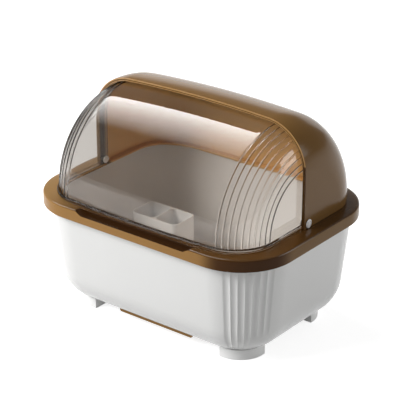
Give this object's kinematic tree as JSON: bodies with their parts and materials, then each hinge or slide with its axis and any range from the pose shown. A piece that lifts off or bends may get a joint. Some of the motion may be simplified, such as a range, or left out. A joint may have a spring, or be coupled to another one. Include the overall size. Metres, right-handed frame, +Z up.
{
  "type": "dish storage cabinet",
  "caption": "Counter-top dish box: tub on feet, rim with rear hood, clear cover that rolls back under the hood, drain board, racks, cutlery cup and pull-out drip tray.",
  "frame": {"origin": "on the surface that the feet stand on, under the middle of the rim", "axes": "+X along the cabinet's length to the right seen from the front, -Y out of the front, +Z up"},
  "size_m": [0.45, 0.332, 0.3597],
  "materials": {
    "white_gloss": "smooth gloss, moulded",
    "white_inner": "satin, moulded",
    "brown_gloss": "high gloss, moulded",
    "brown_hood": "gloss, tea brown and slightly translucent",
    "clear": "clear and polished, moulded"
  },
  "bodies": {
    "base": {"tub": "white_gloss", "foot_front_left": "white_gloss", "foot_front_right": "white_gloss", "foot_rear_left": "white_gloss", "foot_rear_right": "white_gloss", "tray_runner_left": "white_gloss", "tray_runner_right": "white_gloss", "drain_board": "white_inner", "plate_rack_base": "white_inner", "plate_comb_front": "white_inner", "plate_comb_rear": "white_inner", "cutlery_cup": "white_inner"},
    "lid": {"rim_frame": "brown_gloss", "rear_hood": "brown_hood", "pivot_pin_left": "white_gloss", "pivot_pin_right": "white_gloss", "pin_cap_left": "white_gloss", "pin_cap_right": "white_gloss"},
    "cover": {"front_cover": "clear"},
    "tray": {"drip_tray": "brown_gloss"}
  },
  "joints": [
    {"name": "lid_lift", "type": "slide", "parent": "base", "child": "lid", "axis": [0, 0, 1], "range_m": [0, 0.06]},
    {"name": "cover_roll", "type": "hinge", "parent": "lid", "child": "cover", "pos_m": [0, 0, 0.2019], "axis": [-1, 0, 0], "range_deg": [0, 80]},
    {"name": "tray_slide", "type": "slide", "parent": "base", "child": "tray", "axis": [0, -1, 0], "range_m": [0, 0.15]}
  ]
}
